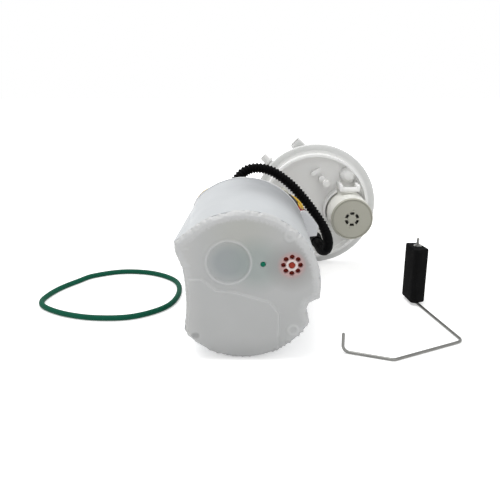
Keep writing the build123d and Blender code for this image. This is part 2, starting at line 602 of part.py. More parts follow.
# ------------------------------------------------------------------ vent valve
def vent_body():
    """Can of the vent valve, open at its cap, with the neck that goes through the flange."""
    y0, y1 = CAN_Y0 + 2.2, FL_Y
    neck = FL_Y + FL_T + HUB_T - 0.5
    can = turned(CAN_X, CAN_Z, [
        (CAN_R - CAN_WALL, y0), (CAN_R, y0), (CAN_R, y1 - 0.02), (NECK_R, y1 - 0.02), (NECK_R, neck),
        (2.2, neck), (2.2, y1 - 8), (SEAT_TUBE_R, y1 - 8), (SEAT_TUBE_R, y1 - 2.5),
        (CAN_R - CAN_WALL, y1 - 2.5),
    ])
    for angle in LATCHES:
        can -= on_rim(CAN_X, CAN_Z, angle, CAN_R - CAN_WALL / 2, y0 + 2.6) * Box(CAN_WALL + 2, 3.2, 4.6)
    return can


def vent_cap():
    """Snap cap with a ring of curved slots round its hub."""
    y0 = CAN_Y0
    cap = turned(CAN_X, CAN_Z, [
        (0, y0 - 0.3), (3.0, y0 - 0.3), (3.4, y0), (CAN_R - 1.0, y0), (CAN_R - 0.2, y0 + 0.8),
        (CAN_R - 0.2, y0 + 2.15),
        (CAN_R - CAN_WALL - FIT, y0 + 2.15), (CAN_R - CAN_WALL - FIT, y0 + CAP_RIM_L),
        (CAN_R - CAN_WALL - 1.6, y0 + CAP_RIM_L), (CAN_R - CAN_WALL - 1.6, y0 + 2.0), (0, y0 + 2.0),
    ])
    for i in range(SLOTS):
        a = 360 * i / SLOTS + 30
        cap -= slab(sector(CAN_X, CAN_Z, SLOT_OUT_R, SLOT_IN_R, a - 21, a + 21), y0, y0 + 2.0)
    cap -= tube(CAN_X, CAN_Z, CAN_R - 1.5, CAN_R - 2.4, y0, y0 + 0.8)
    for angle in (84, 257):
        cap -= on_rim(CAN_X, CAN_Z, angle, 9.2, y0 + 0.3) * Rot(90, 0, 0) * Cylinder(0.5, 0.8)
    for angle in LATCHES:
        cap += on_rim(CAN_X, CAN_Z, angle, CAN_R - CAN_WALL + 0.2, y0 + 4.6) * Box(1.6, 2.6, 4.2)
    return cap


def vent_float():
    """Float of the vent valve, with the cone that shuts the seat."""
    y1 = FL_Y - 8.3
    y0 = y1 - 22
    body = turned(CAN_X, CAN_Z, [
        (0, y1), (1.4, y1), (3.4, y1 - 3.0), (FLOAT_R, y1 - 3.0), (FLOAT_R, y0),
        (FLOAT_R - FLOAT_WALL, y0), (FLOAT_R - FLOAT_WALL, y1 - 6), (0, y1 - 6),
    ])
    for i in range(4):
        a = radians(90 * i + 45)
        body += rod(CAN_X + FLOAT_R * cos(a), CAN_Z + FLOAT_R * sin(a), 1.2, y0, y1 - 3)
    return body


def vent_spring():
    y0 = CAN_Y0 + 2.05
    return coil(CAN_X, CAN_Z, FLOAT_R - FLOAT_WALL - 2.7, 0.9, y0, FL_Y - 8.3 - 6.05, 4)


def vent_seal():
    """Rubber ring round the vent valve's neck, in the flange's hole."""
    section = (NECK_HOLE_R - NECK_R) / 2 - 0.02
    ring = Rot(90, 0, 0) * Torus(NECK_R + section + 0.02, section)
    return Pos(CAN_X, FL_Y + 3, CAN_Z) * ring


# ---------------------------------------------------------------------- elbow and cuffs
def outlet_elbow():
    """White elbow on the lid with the barb for the hose."""
    base = RES_END_Y + LID_T + 5
    corner = Vector(ELBOW_X, ELBOW_Y, ELBOW_Z)
    body = rod(ELBOW_X, ELBOW_Z, 5.0, base + 0.02, ELBOW_Y)
    body += Pos(*corner) * Sphere(5.0)
    body += along(corner, ELBOW_DIR, 4.4, 6.5)
    return body + along(corner, ELBOW_DIR, BARB_R - 0.3, 6.5 + 12)


def hose_cuff_lid():
    start = Vector(ELBOW_X, ELBOW_Y, ELBOW_Z) + ELBOW_DIR * 7.0
    length = (HOSE_START - start).length
    cuff = along(start, ELBOW_DIR, CUFF_R, length)
    return cuff - along(start, ELBOW_DIR, BARB_R + 0.02, 13)


def hose_cuff_flange():
    cuff = rod(OUTLET_X, OUTLET_Z, CUFF_R, CUFF_Y, CUFF_Y + CUFF_L)
    return cuff - rod(OUTLET_X, OUTLET_Z, BARB_R + 0.02, CUFF_Y + 2.5, CUFF_Y + CUFF_L)


# ----------------------------------------------------------------- level sender
def flat_wall_x():
    """Outer face of the shell's flat side beside the sender."""
    return FLAT_X - 0.05


def sender_axis_bar(r, x_low, x_high):
    return along((x_low, SENDER_Y, SENDER_Z), (1, 0, 0), r, x_high - x_low)


def sender_housing():
    x1 = flat_wall_x()
    x0 = x1 - SENDER_BASE_T
    plate = Pos((x0 + x1) / 2, SENDER_Y - 2, SENDER_Z) * Box(SENDER_BASE_T, 44, 32)
    plate = fillet(plate.edges().filter_by(Axis.X), 4)
    plate -= Pos(x0 + 0.6, SENDER_Y - 12, SENDER_Z) * Box(1.2, 17, 24.4)
    plate -= sender_axis_bar(HUB_PIN_R + RUN, x0 - 1, x1 + 1)
    for dz in (-13, 13):
        plate += Pos(x0 - 1.2, SENDER_Y + 16.8, SENDER_Z + dz) * Box(2.4, 4, 3)
    return plate


def sender_card():
    """Ceramic card with the resistor track."""
    x0 = flat_wall_x() - SENDER_BASE_T
    card = Pos(x0 + 0.75, SENDER_Y - 12, SENDER_Z) * Box(0.8, 16.8, 24)
    track = Pos(x0 + 0.25, SENDER_Y, SENDER_Z) * Rot(0, 90, 0) * Cylinder(16, 0.2)
    track -= Pos(x0 + 0.25, SENDER_Y, SENDER_Z) * Rot(0, 90, 0) * Cylinder(13, 0.2)
    return card + (track & Pos(x0 + 0.25, SENDER_Y - 12, SENDER_Z) * Box(0.2, 15, 21))


def sender_rotor():
    """Swinging holder of the float arm: hub, arm clip and stop."""
    x1 = flat_wall_x() - SENDER_BASE_T - 0.3
    x0 = x1 - ROTOR_T
    body = sender_axis_bar(6.5, x0, x1) + sender_axis_bar(HUB_PIN_R, x1, flat_wall_x() - 0.2)
    body += Pos((x0 + x1) / 2, SENDER_Y, SENDER_Z - 10) * Box(ROTOR_T, 6, 14)
    body -= Pos(x0 + 1, SENDER_Y, SENDER_Z - 12) * Box(2.2, 2 * ARM_BORE_R, 12)
    return body - sender_axis_bar(ARM_BORE_R, x0 - 1, flat_wall_x() + 1)


def sender_wiper():
    """Spring leaf under the rotor, with the contact that runs on the track."""
    x1 = flat_wall_x() - SENDER_BASE_T - 0.3
    leaf = Pos(x1 + 0.12, SENDER_Y - 9.6, SENDER_Z) * Box(0.24, 11.4, 4)
    return leaf + Pos(x1 + 0.2, SENDER_Y - 14.5, SENDER_Z) * Box(0.4, 1.2, 3)


# ----------------------------------------------------------------------- wiring
def harness_plug():
    body = rounded_box(PLUG_X, PLUG_Z, PLUG_W, PLUG_H, PLUG_Y0, PLUG_Y0 + PLUG_L, 1.5)
    return body + slab(Pos(PLUG_X, PLUG_Z + PLUG_H / 2 + 0.8) * Rectangle(5, 1.8), PLUG_Y0 + 3, PLUG_Y0 + 12)


WIRE_PORTS = {
    "sender_wire_yellow": (PLUG_X + 3.6, PLUG_Z + 1.6),
    "sender_wire_black": (PLUG_X - 3.6, PLUG_Z + 1.6),
    "pump_wire_red": (PLUG_X + 3.6, PLUG_Z - 1.8),
    "pump_wire_black": (PLUG_X - 3.6, PLUG_Z - 1.8),
}
GROMMET_X, GROMMET_Z, GROMMET_Y = 30.0, 55.0, 8.0
SENDER_PORTS = {"sender_wire_black": (-38.3, -16.0, 60.05), "sender_wire_yellow": (-38.3, -12.5, 60.05)}


def wire_routes():
    """Route of each wire, from the sender or the lid's grommet to the harness plug."""
    over_lid = [(-39.0, -5.0, 79.0), (-38.0, 5.0, 88.5), (-30.0, 10.5, 98.5), (-16.0, 13.0, 103.5),
                (4.0, 16.0, 105.0), (22.0, 21.0, 103.0)]
    to_plug = {
        "sender_wire_black": [(38.0, 25.0, 97.0), (50.0, 30.0, 91.0), (57.5, 37.0, 81.0), (56.0, 50.0, 73.5)],
        "sender_wire_yellow": [(38.0, 29.0, 95.5), (52.0, 37.0, 88.5), (60.0, 37.5, 82.0), (64.0, 43.0, 73.5)],
        "pump_wire_red": [(56.0, 35.0, 62.0), (66.5, 46.0, 73.0), (64.0, 57.0, 69.0)],
        "pump_wire_black": [(48.8, 35.0, 63.2)],
    }
    routes = {}
    for name, aside in (("sender_wire_black", 0.0), ("sender_wire_yellow", 3.2)):
        x, y, z = SENDER_PORTS[name]
        routes[name] = [(x, y, z), (x, y, z + 9)] + [(a, b + aside, c) for a, b, c in over_lid]
    for name, lift in (("pump_wire_red", 0.0), ("pump_wire_black", 3.4)):
        z = GROMMET_Z + lift
        routes[name] = [(GROMMET_X, GROMMET_Y, z), (GROMMET_X, GROMMET_Y + 9, z), (GROMMET_X + 9, GROMMET_Y + 17, z + 1)]
    for name, route in routes.items():
        px, pz = WIRE_PORTS[name]
        route += to_plug[name] + [(px, 66.0, pz), (px, PLUG_Y0, pz)]
    return routes


def lid_grommet():
    """Rubber grommet that the pump's wires leave the lid through."""
    top = RES_END_Y + LID_T + 0.02
    body = rounded_box(GROMMET_X, GROMMET_Z + 1.7, 8, 11, top, GROMMET_Y, 3)
    return body


# --------------------------------------------------- pieces beside the module
def seal_ring():
    """Seal ring lying loose, slightly egg-shaped."""
    path = Spline(*[(x, y, RING_D / 2) for x, y in RING_OUTLINE], periodic=True)
    section = Plane(origin=path @ 0, z_dir=path % 0) * Circle(RING_D / 2)
    return sweep(section, path=path)


def arm_wire():
    """Float arm: wire with a pivot stub at one end and the float's upright at the other."""
    z = ARM_WIRE_R
    points = [(*ARM_PIVOT, STUB_H), (*ARM_PIVOT, z)]
    points += [(x, y, z) for x, y in ARM_BENDS]
    points += [(FLOAT_X, FLOAT_Y, z), (FLOAT_X, FLOAT_Y, ARM_TOP_Z)]
    path = FilletPolyline(*points, radius=[BEND_R, BEND_R, BEND_R + 2, BEND_R])
    section = Plane(origin=path @ 0, z_dir=path % 0) * Circle(ARM_WIRE_R)
    return sweep(section, path=path)


def arm_float():
    """Foam block on the arm's upright."""
    block = Pos(0, 0, BLOCK_Z0) * extrude(make_face(Polyline(*BLOCK_OUTLINE, close=True)), amount=BLOCK_H)
    corners = block.edges().filter_by(Axis.Z).sort_by(Axis.Y)
    block = fillet(corners[1:], 1.5)
    block = fillet(block.edges().filter_by(Axis.Z).sort_by(Axis.Y)[0], 4)
    bore = extrude(Pos(FLOAT_X, FLOAT_Y, BLOCK_Z0) * Circle(ARM_WIRE_R + RUN), amount=BLOCK_H)
    return block - bore - Pos(FLOAT_X, FLOAT_Y, BLOCK_Z0) * Sphere(BLOCK_HOLLOW_R)


def push_nut():
    z = BLOCK_Z0 + BLOCK_H + 0.1
    nut = extrude(Pos(FLOAT_X, FLOAT_Y, z) * (Circle(3.6) - Circle(ARM_WIRE_R)), amount=0.5)
    return nut + extrude(Pos(FLOAT_X, FLOAT_Y, z + 0.5) * (Circle(2.2) - Circle(ARM_WIRE_R)), amount=0.9)


# ------------------------------------------------------------------------ export
def build_nodes():
    nodes = {
        "reservoir_shell": reservoir_shell(),
        "bottom_plate": bottom_plate(),
        "reservoir_lid": reservoir_lid(),
        "umbrella_valve": umbrella_valve(),
        "jet_nozzle": jet_nozzle(),
        "jet_tube": jet_tube(),
        "pump_case": pump_case(),
        "pump_inlet_cap": pump_inlet_cap(),
        "pump_outlet_cap": pump_outlet_cap(),
        "pump_magnets": pump_magnets(),
        "pump_armature": pump_armature(),
        "pump_impeller": pump_impeller(),
        "pump_brushes": pump_brushes(),
        "pump_isolator": pump_isolator(),
        "inlet_strainer": inlet_strainer(),
        "regulator_housing": regulator_housing(),
        "regulator_valve": regulator_valve(),
        "regulator_spring": regulator_spring(),
        "outlet_elbow": outlet_elbow(),
        "hose_cuff_lid": hose_cuff_lid(),
        "hose_cuff_flange": hose_cuff_flange(),
        "fuel_hose": cord("fuel_hose", HOSE_ROUTE, HOSE_D),
        "flange": flange(),
        "connector_terminals": connector_terminals(),
        "outlet_spigot": outlet_spigot(),
        "vapour_spigot": vapour_spigot(),
        "guide_rod_upper": guide_rod(*RODS[0]),
        "guide_rod_lower": guide_rod(*RODS[1]),
        "guide_spring_upper": guide_spring(*RODS[0]),
        "guide_spring_lower": guide_spring(*RODS[1]),
        "rod_clips": rod_clips(),
        "vent_body": vent_body(),
        "vent_cap": vent_cap(),
        "vent_float": vent_float(),
        "vent_spring": vent_spring(),
        "vent_seal": vent_seal(),
        "sender_housing": sender_housing(),
        "sender_card": sender_card(),
        "sender_rotor": sender_rotor(),
        "sender_wiper": sender_wiper(),
        "harness_plug": harness_plug(),
        "lid_grommet": lid_grommet(),
        "seal_ring": seal_ring(),
        "arm_wire": arm_wire(),
        "arm_float": arm_float(),
        "push_nut": push_nut(),
    }
    for name, points in wire_routes().items():
        nodes[name] = cord(name, points, WIRE_D)
    return nodes


os.makedirs("parts", exist_ok=True)
for name, shape in build_nodes().items():
    export_step(shape, f"parts/{name}.step")
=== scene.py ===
"""Looks of a fuel pump module laid on its side, with its seal ring and float arm beside it.

Everything is in metres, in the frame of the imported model: +X across, +Y along the module, +Z up.
Routes, outlines and round patches are written in millimetres and scaled where they are used.
"""
import json
from math import cos, pi, radians, sin, tan

import bmesh
import bpy
import numpy as np
from mathutils import Matrix, Vector, noise

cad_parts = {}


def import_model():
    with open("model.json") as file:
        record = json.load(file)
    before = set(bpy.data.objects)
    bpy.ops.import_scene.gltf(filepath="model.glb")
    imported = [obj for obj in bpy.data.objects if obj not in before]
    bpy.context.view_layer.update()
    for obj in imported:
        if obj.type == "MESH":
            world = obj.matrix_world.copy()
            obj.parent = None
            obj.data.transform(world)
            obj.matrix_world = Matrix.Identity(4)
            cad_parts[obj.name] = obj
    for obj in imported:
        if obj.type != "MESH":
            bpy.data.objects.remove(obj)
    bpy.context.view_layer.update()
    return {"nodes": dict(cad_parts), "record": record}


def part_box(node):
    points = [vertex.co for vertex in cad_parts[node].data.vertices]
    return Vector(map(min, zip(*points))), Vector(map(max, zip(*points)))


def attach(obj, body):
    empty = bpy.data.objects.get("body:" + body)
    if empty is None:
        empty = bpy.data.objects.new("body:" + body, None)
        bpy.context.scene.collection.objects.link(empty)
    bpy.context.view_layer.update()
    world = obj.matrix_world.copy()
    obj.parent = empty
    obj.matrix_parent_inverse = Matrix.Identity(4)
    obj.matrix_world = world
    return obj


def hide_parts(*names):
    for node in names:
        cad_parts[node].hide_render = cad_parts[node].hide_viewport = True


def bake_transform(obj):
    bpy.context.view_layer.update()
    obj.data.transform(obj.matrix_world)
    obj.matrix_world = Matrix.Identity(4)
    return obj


MM = 0.001

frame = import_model()
NODES = frame["nodes"]

# places read from the frame
VALVE_LOW, VALVE_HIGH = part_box("umbrella_valve")
VALVE = (VALVE_LOW + VALVE_HIGH) / 2 / MM       # middle of the filling valve, in mm
PLATE_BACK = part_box("reservoir_shell")[0].y     # back of the bottom plate, where the shell starts


# ---------------------------------------------------------------- shader building
def link(tree, a, b):
    tree.links.new(a, b)


def feed(tree, socket, value):
    """Sets a socket to a number or a colour, or links another socket to it."""
    if isinstance(value, tuple):
        socket.default_value = (*value, 1.0)
    elif isinstance(value, (int, float)):
        socket.default_value = value
    else:
        link(tree, value, socket)


def maths(tree, operation, a, b=None, clamp=False):
    n = tree.nodes.new("ShaderNodeMath")
    n.operation = operation
    n.use_clamp = clamp
    feed(tree, n.inputs[0], a)
    if b is not None:
        feed(tree, n.inputs[1], b)
    return n.outputs[0]


def mix(tree, factor, a, b):
    n = tree.nodes.new("ShaderNodeMix")
    n.data_type = "RGBA"
    feed(tree, n.inputs["Factor"], factor)
    for letter, value in (("A", a), ("B", b)):
        feed(tree, [s for s in n.inputs if s.name == letter and s.type == "RGBA"][0], value)
    return [s for s in n.outputs if s.type == "RGBA"][0]


def object_vector(tree):
    return tree.nodes.new("ShaderNodeTexCoord").outputs["Object"]


def object_axes(tree):
    """X, Y and Z in the piece's own space."""
    axes = tree.nodes.new("ShaderNodeSeparateXYZ")
    link(tree, object_vector(tree), axes.inputs[0])
    return axes.outputs


def noise_value(tree, scale, detail, stretch=None):
    """Noise in the piece's own space, with its cells stretched by a factor along each axis."""
    place = object_vector(tree)
    if stretch:
        mapping = tree.nodes.new("ShaderNodeMapping")
        mapping.inputs["Scale"].default_value = stretch
        link(tree, place, mapping.inputs["Vector"])
        place = mapping.outputs["Vector"]
    n = tree.nodes.new("ShaderNodeTexNoise")
    n.inputs["Scale"].default_value = scale
    n.inputs["Detail"].default_value = detail
    link(tree, place, n.inputs["Vector"])
    return n.outputs["Fac"]


def contrast(tree, value, low, gain):
    """Mask that starts where the value passes low and grows by the gain."""
    return maths(tree, "MULTIPLY", maths(tree, "SUBTRACT", value, low), gain, clamp=True)


def tint(tree, colour, mask, share, shade):
    """The colour, turned towards a shade by a share of the mask."""
    return mix(tree, maths(tree, "MULTIPLY", mask, share), colour, shade)


def new_group(name, inputs, outputs):
    """Empty node group with its inputs' first values; an output is a number unless called Colour."""
    tree = bpy.data.node_groups.new(name, "ShaderNodeTree")
    for label, value in inputs.items():
        kind = "NodeSocketColor" if isinstance(value, tuple) else "NodeSocketFloat"
        socket = tree.interface.new_socket(label, in_out="INPUT", socket_type=kind)
        socket.default_value = (*value, 1.0) if isinstance(value, tuple) else value
    for label in outputs:
        kind = "NodeSocketColor" if label == "Colour" else "NodeSocketFloat"
        tree.interface.new_socket(label, in_out="OUTPUT", socket_type=kind)
    start = tree.nodes.new("NodeGroupInput")
    end = tree.nodes.new("NodeGroupOutput")
    return tree, start.outputs, end.inputs


def moulded_skin_group():
    """Colour that drifts a little, fine grain and uneven gloss of a moulded surface."""
    tree, given, out = new_group(
        "moulded skin",
        {"Colour": (0.8, 0.8, 0.8), "Drift": 0.06, "Grain": 0.3, "Roughness": 0.5},
        ("Colour", "Roughness", "Height"),
    )
    broad = noise_value(tree, 55, 4)
    fine = noise_value(tree, 1600, 2)
    swing = maths(tree, "SUBTRACT", broad, 0.5)
    scaled = tree.nodes.new("ShaderNodeVectorMath")
    scaled.operation = "SCALE"
    link(tree, given["Colour"], scaled.inputs[0])
    shade = maths(tree, "ADD", maths(tree, "MULTIPLY", swing, given["Drift"]), 1.0)
    link(tree, shade, scaled.inputs["Scale"])
    link(tree, scaled.outputs[0], out["Colour"])
    gloss = maths(tree, "ADD", given["Roughness"], maths(tree, "MULTIPLY", swing, 0.25), clamp=True)
    link(tree, gloss, out["Roughness"])
    height = maths(tree, "MULTIPLY", fine, given["Grain"])
    link(tree, maths(tree, "ADD", height, maths(tree, "MULTIPLY", broad, 0.5)), out["Height"])
    return tree


def round_patch_group():
    """Soft round mask about a line along Y."""
    tree, given, out = new_group(
        "round patch", {"X": 0.0, "Z": 0.0, "Radius": 0.01, "Softness": 0.002}, ("Mask",)
    )
    place = object_axes(tree)
    dx = maths(tree, "SUBTRACT", place["X"], given["X"])
    dz = maths(tree, "SUBTRACT", place["Z"], given["Z"])
    square = maths(tree, "ADD", maths(tree, "MULTIPLY", dx, dx), maths(tree, "MULTIPLY", dz, dz))
    inside = maths(tree, "SUBTRACT", given["Radius"], maths(tree, "SQRT", square))
    share = maths(tree, "DIVIDE", inside, given["Softness"])
    link(tree, maths(tree, "ADD", share, 0.5, clamp=True), out["Mask"])
    return tree


def ramp_patch_group():
    """Mask that rises from 0 to 1 between two values of a coordinate."""
    tree, given, out = new_group("ramp patch", {"Value": 0.0, "Low": 0.0, "High": 1.0}, ("Mask",))
    n = tree.nodes.new("ShaderNodeMapRange")
    n.interpolation_type = "SMOOTHSTEP"
    link(tree, given["Value"], n.inputs["Value"])
    link(tree, given["Low"], n.inputs["From Min"])
    link(tree, given["High"], n.inputs["From Max"])
    link(tree, n.outputs["Result"], out["Mask"])
    return tree


def rubber_bloom_group():
    """Rubber with a faint dusty bloom and fine grain."""
    tree, given, out = new_group(
        "rubber bloom",
        {"Colour": (0.02, 0.02, 0.02), "Bloom": (0.1, 0.1, 0.1), "Amount": 0.3, "Roughness": 0.45},
        ("Colour", "Roughness", "Height"),
    )
    mask = contrast(tree, noise_value(tree, 120, 5), 0.35, 2.0)
    link(tree, tint(tree, given["Colour"], mask, given["Amount"], given["Bloom"]), out["Colour"])
    duller = maths(tree, "MULTIPLY", mask, 0.15)
    link(tree, maths(tree, "ADD", given["Roughness"], duller), out["Roughness"])
    link(tree, noise_value(tree, 2600, 2), out["Height"])
    return tree


def drawn_metal_group():
    """Metal with fine streaks and slight tarnish."""
    tree, given, out = new_group(
        "drawn metal",
        {"Colour": (0.6, 0.6, 0.6), "Tarnish": (0.3, 0.28, 0.25), "Amount": 0.25, "Roughness": 0.3},
        ("Colour", "Roughness", "Height"),
    )
    mask = contrast(tree, noise_value(tree, 160, 5), 0.4, 2.5)
    link(tree, tint(tree, given["Colour"], mask, given["Amount"], given["Tarnish"]), out["Colour"])
    streak = noise_value(tree, 900, 2, stretch=(1, 0.15, 1))
    spread = maths(tree, "SUBTRACT", maths(tree, "MULTIPLY", streak, 0.18), 0.09)
    link(tree, maths(tree, "ADD", given["Roughness"], spread), out["Roughness"])
    link(tree, streak, out["Height"])
    return tree


def foam_cell_group():
    """Closed-cell foam: pits, crumbs and slightly paler worn cells."""
    tree, given, out = new_group(
        "foam cells", {"Colour": (0.02, 0.02, 0.02), "Worn": (0.06, 0.06, 0.06)}, ("Colour", "Height")
    )
    cells = tree.nodes.new("ShaderNodeTexVoronoi")
    cells.inputs["Scale"].default_value = 900
    link(tree, object_vector(tree), cells.inputs["Vector"])
    pits = cells.outputs["Distance"]
    link(tree, tint(tree, given["Colour"], noise_value(tree, 90, 5), pits, given["Worn"]), out["Colour"])
    link(tree, pits, out["Height"])
    return tree


def cloth_weave_group():
    """Fine square weave in X and Z."""
    tree, given, out = new_group(
        "strainer weave", {"Colour": (0.8, 0.8, 0.76), "Threads": 2400.0}, ("Colour", "Height")
    )
    place = object_axes(tree)
    warp, weft = (maths(tree, "MULTIPLY", place[axis], given["Threads"]) for axis in "XZ")
    height = maths(tree, "MAXIMUM", maths(tree, "SINE", warp), maths(tree, "SINE", weft))
    shade = maths(tree, "MULTIPLY", maths(tree, "ADD", height, 1.0), 0.5, clamp=True)
    link(tree, mix(tree, shade, (0.5, 0.5, 0.46), given["Colour"]), out["Colour"])
    link(tree, height, out["Height"])
    return tree


GROUPS = {
    "skin": moulded_skin_group(), "round": round_patch_group(), "ramp": ramp_patch_group(),
    "rubber": rubber_bloom_group(), "metal": drawn_metal_group(), "foam": foam_cell_group(),
    "weave": cloth_weave_group(),
}


def place_group(tree, key, **values):
    """Outputs of a group node whose inputs are set by value or linked."""
    n = tree.nodes.new("ShaderNodeGroup")
    n.node_tree = GROUPS[key]
    for label, value in values.items():
        feed(tree, n.inputs[label], value)
    return n.outputs


def ramp(tree, value, low, high):
    return place_group(tree, "ramp", Value=value, Low=low, High=high)["Mask"]


def disc(tree, x, z, radius, softness):
    """Mask of a soft disc, all in mm."""
    sizes = dict(X=x * MM, Z=z * MM, Radius=radius * MM, Softness=softness * MM)
    return place_group(tree, "round", **sizes)["Mask"]


def stored(tree, name):
    """Value that the mesh stores under a name."""
    n = tree.nodes.new("ShaderNodeAttribute")
    n.attribute_name = name
    return n.outputs["Fac"]


# ---------------------------------------------------------------------- finishes
MATERIALS = {}


def new_material(name, **settings):
    """Material kept under its name, with a Principled shader whose sockets are set by name (_ is a space)."""
    material = MATERIALS[name] = bpy.data.materials.new(name)
    material.use_nodes = True
    tree = material.node_tree
    into = tree.nodes["Principled BSDF"].inputs
    for label, value in settings.items():
        socket = into[label.replace("_", " ")]
        socket.default_value = (*value, 1.0) if socket.type == "RGBA" else value
    return tree, into


def surface(tree, into, made, depth, strength=1.0):
    """Feeds a finish's colour, roughness and height to the shader."""
    link(tree, made["Colour"], into["Base Color"])
    if "Roughness" in made:
        link(tree, made["Roughness"], into["Roughness"])
    bump = tree.nodes.new("ShaderNodeBump")
    bump.inputs["Distance"].default_value = depth
    bump.inputs["Strength"].default_value = strength
    link(tree, made["Height"], bump.inputs["Height"])
    link(tree, bump.outputs["Normal"], into["Normal"])


def moulded(name, colour, roughness=0.5, drift=0.06, grain=0.3, depth=0.00004, **settings):
    """Moulded plastic; the colour is a value, or a function that builds it in the material's tree."""
    tree, into = new_material(name, **settings)
    if callable(colour):
        colour = colour(tree)
    skin = place_group(tree, "skin", Colour=colour, Drift=drift, Grain=grain, Roughness=roughness)
    surface(tree, into, skin, depth)


def rubber(name, colour, bloom, amount, specular):
    tree, into = new_material(name, Specular_IOR_Level=specular)
    made = place_group(tree, "rubber", Colour=colour, Bloom=bloom, Amount=amount, Roughness=0.55)
    surface(tree, into, made, 0.00002)


def metal(name, colour, tarnish, amount=0.25):
    tree, into = new_material(name, Metallic=1.0)
    made = place_group(tree, "metal", Colour=colour, Tarnish=tarnish, Amount=amount, Roughness=0.3)
    surface(tree, into, made, 0.000006)


MILKY = (0.465, 0.485, 0.50)
# darker tone of the painted shade and painted reflection on the wall
MILKY_SHADE_AND_REFLECTION = (0.24, 0.25, 0.265)
# where painted shade and painted reflection darken the wall: ramps along Y and X (m), share
WALL_SHADE_Y, WALL_SHADE_X, WALL_SHADE_SHARE = (-0.088, -0.030), (-0.020, 0.030), 0.95


def shell_tone(tree):
    """Milky wall, darkened by painted shade and painted reflection over the last stretch towards the lid on
    its right side.
    """
    place = object_axes(tree)
    towards_lid = ramp(tree, place["Y"], *WALL_SHADE_Y)
    right_side = ramp(tree, place["X"], *WALL_SHADE_X)
    return tint(tree, MILKY, maths(tree, "MULTIPLY", towards_lid, right_side), WALL_SHADE_SHARE, MILKY_SHADE_AND_REFLECTION)


FACE_GREY = (0.430, 0.437, 0.435)
FACE_PALE = (0.52, 0.52, 0.51)
FACE_PAINTED_SHADE = (0.25, 0.25, 0.25)
FACE_WARM = (0.40, 0.405, 0.375)
# pale of the weld along the outline, and the painted highlight on the face's rings and raised lines
PALE_WELD_AND_HIGHLIGHT = (0.51, 0.515, 0.515)
# painted bluish shade where the thin wall over the inlet's recess and over the jet shows the dark inside
RECESS_PAINTED_SHADE = (0.245, 0.275, 0.285)
JET_PAINTED_SHADE = (0.255, 0.30, 0.288)
# painted shade about the recessed valve seat
VALVE_PAINTED_SHADE = (0.22, 0.205, 0.20)
# painted pink glow of the red valve through the milky plate, palest at its centre
VALVE_PAINTED_GLOW = (0.50, 0.27, 0.26)
VALVE_CENTRE_PAINTED_GLOW = (0.72, 0.66, 0.64)
# the face's low part, darkened towards the bottom by painted shade, and its paler left part: ramp (m), share
LOW_Z, LOW_SHARE = (0.020, 0.0), 0.35
LEFT_X, LEFT_SHARE = (-0.020, -0.040), 0.7
# round patches of the face, most of them painted shade and painted glow: x, z, radius, softness (mm), share,
# tint
FACE_PATCHES = [
    (7.0, 98.0, 20.0, 24.0, 0.7, FACE_WARM),
    (-3.1, 75.5, 13.0, 9.0, 0.72, RECESS_PAINTED_SHADE),
    (17.0, 74.0, 16.0, 14.0, 0.65, JET_PAINTED_SHADE),
    # painted shade in the pocket at the lower left
    (-27.9, 19.7, 2.6, 1.6, 0.5, FACE_PAINTED_SHADE),
    (VALVE.x, VALVE.z, 15.0, 12.0, 0.5, VALVE_PAINTED_SHADE),
    (VALVE.x, VALVE.z, 8.8, 4.0, 0.7, VALVE_PAINTED_GLOW),
    (VALVE.x, VALVE.z, 4.2, 1.0, 0.8, VALVE_CENTRE_PAINTED_GLOW),
]
# painted highlights on the face's ring ridge and bosses: x, z, radius, half width (mm), share
FACE_RING_HIGHLIGHTS = [
    (-3.1, 75.5, 15.8, 0.9, 0.6),
    (39.8, 95.0, 3.2, 1.2, 0.6),
    (43.4, 23.7, 3.6, 0.9, 0.65),
]
FACE_RING_HIGHLIGHT_SOFTNESS = 1.2
# pale weld along the outline: how far in it fades, how ragged it is, and the ramps where it shows (m)
RIM_REACH, RIM_RAGGED = (0.0072, 0.0035), 0.0055
RIM_UPPER_Z, RIM_RIGHT_X, RIM_RIGHT_SHARE = (0.045, 0.085), (0.028, 0.056), 0.6
RIDGE_HIGHLIGHT_SHARE = 0.6                # how strong the painted highlight on the raised lines is


